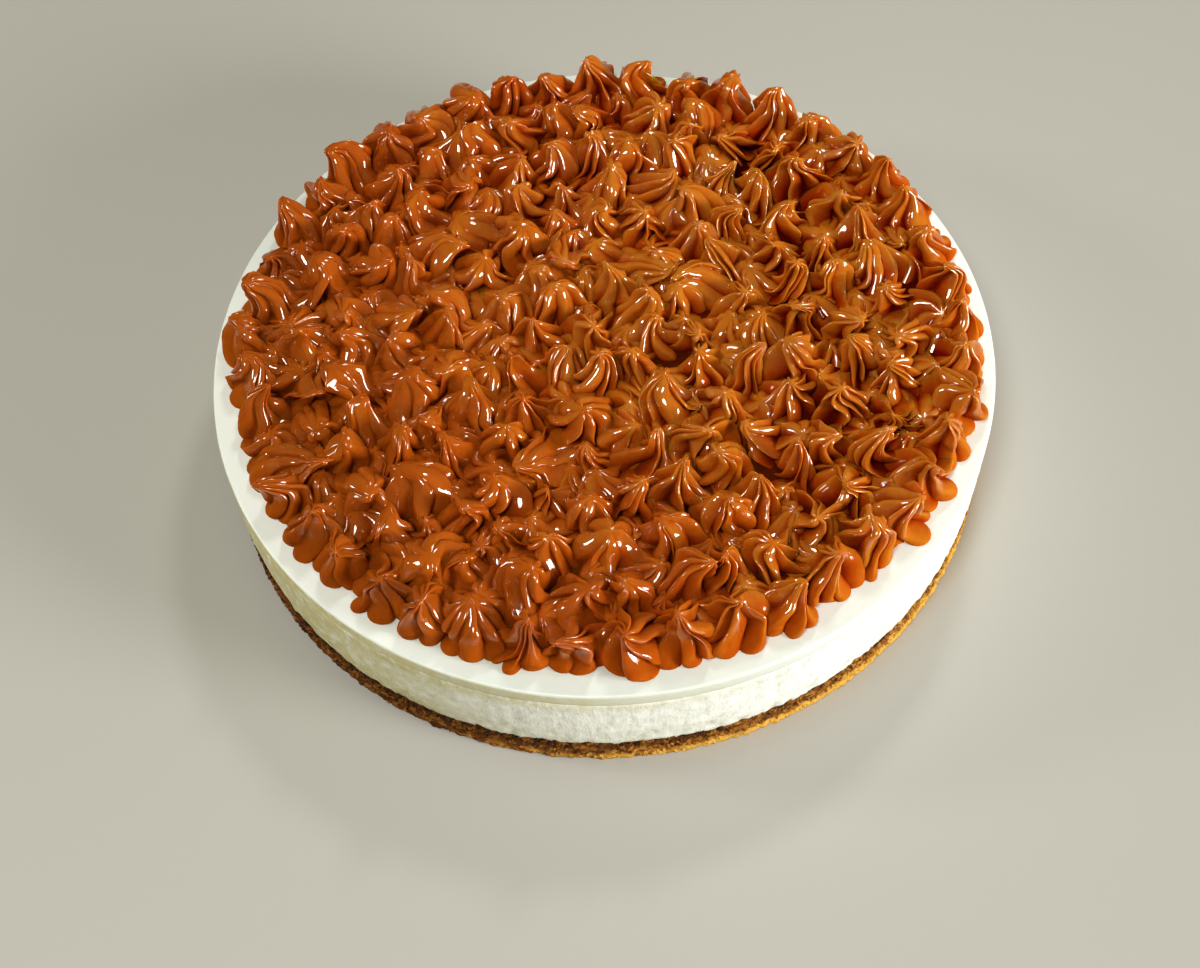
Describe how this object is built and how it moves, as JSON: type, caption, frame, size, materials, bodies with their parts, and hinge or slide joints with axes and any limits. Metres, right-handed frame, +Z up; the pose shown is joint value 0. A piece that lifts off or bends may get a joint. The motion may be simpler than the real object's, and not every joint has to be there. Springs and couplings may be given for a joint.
{
  "type": "cheesecake",
  "caption": "Whole round cheesecake with a crumb base, pale cream filling, smooth top layer and a field of piped caramel stars.",
  "frame": {"origin": "middle of the flat underside of the crumb base", "axes": "+Z up through the middle of the cake; X and Y lie in the underside, with the pictured front towards -Y"},
  "size_m": [0.24, 0.24, 0.058],
  "materials": {
    "crumb": "dark brown pressed biscuit crumb, dry and rough, with a lighter golden lower edge",
    "cream": "off-white set cream, softly satin, with fine pores on its side",
    "smooth_cream": "smooth ivory cream, satin, faintly tan where it rounds over at the side",
    "caramel": "glossy orange-brown milk caramel, darker in its furrows"
  },
  "bodies": {
    "root": {"biscuit_base": "crumb", "cream_filling": "cream", "smooth_top_layer": "smooth_cream", "caramel_stars": "caramel"}
  },
  "joints": []
}
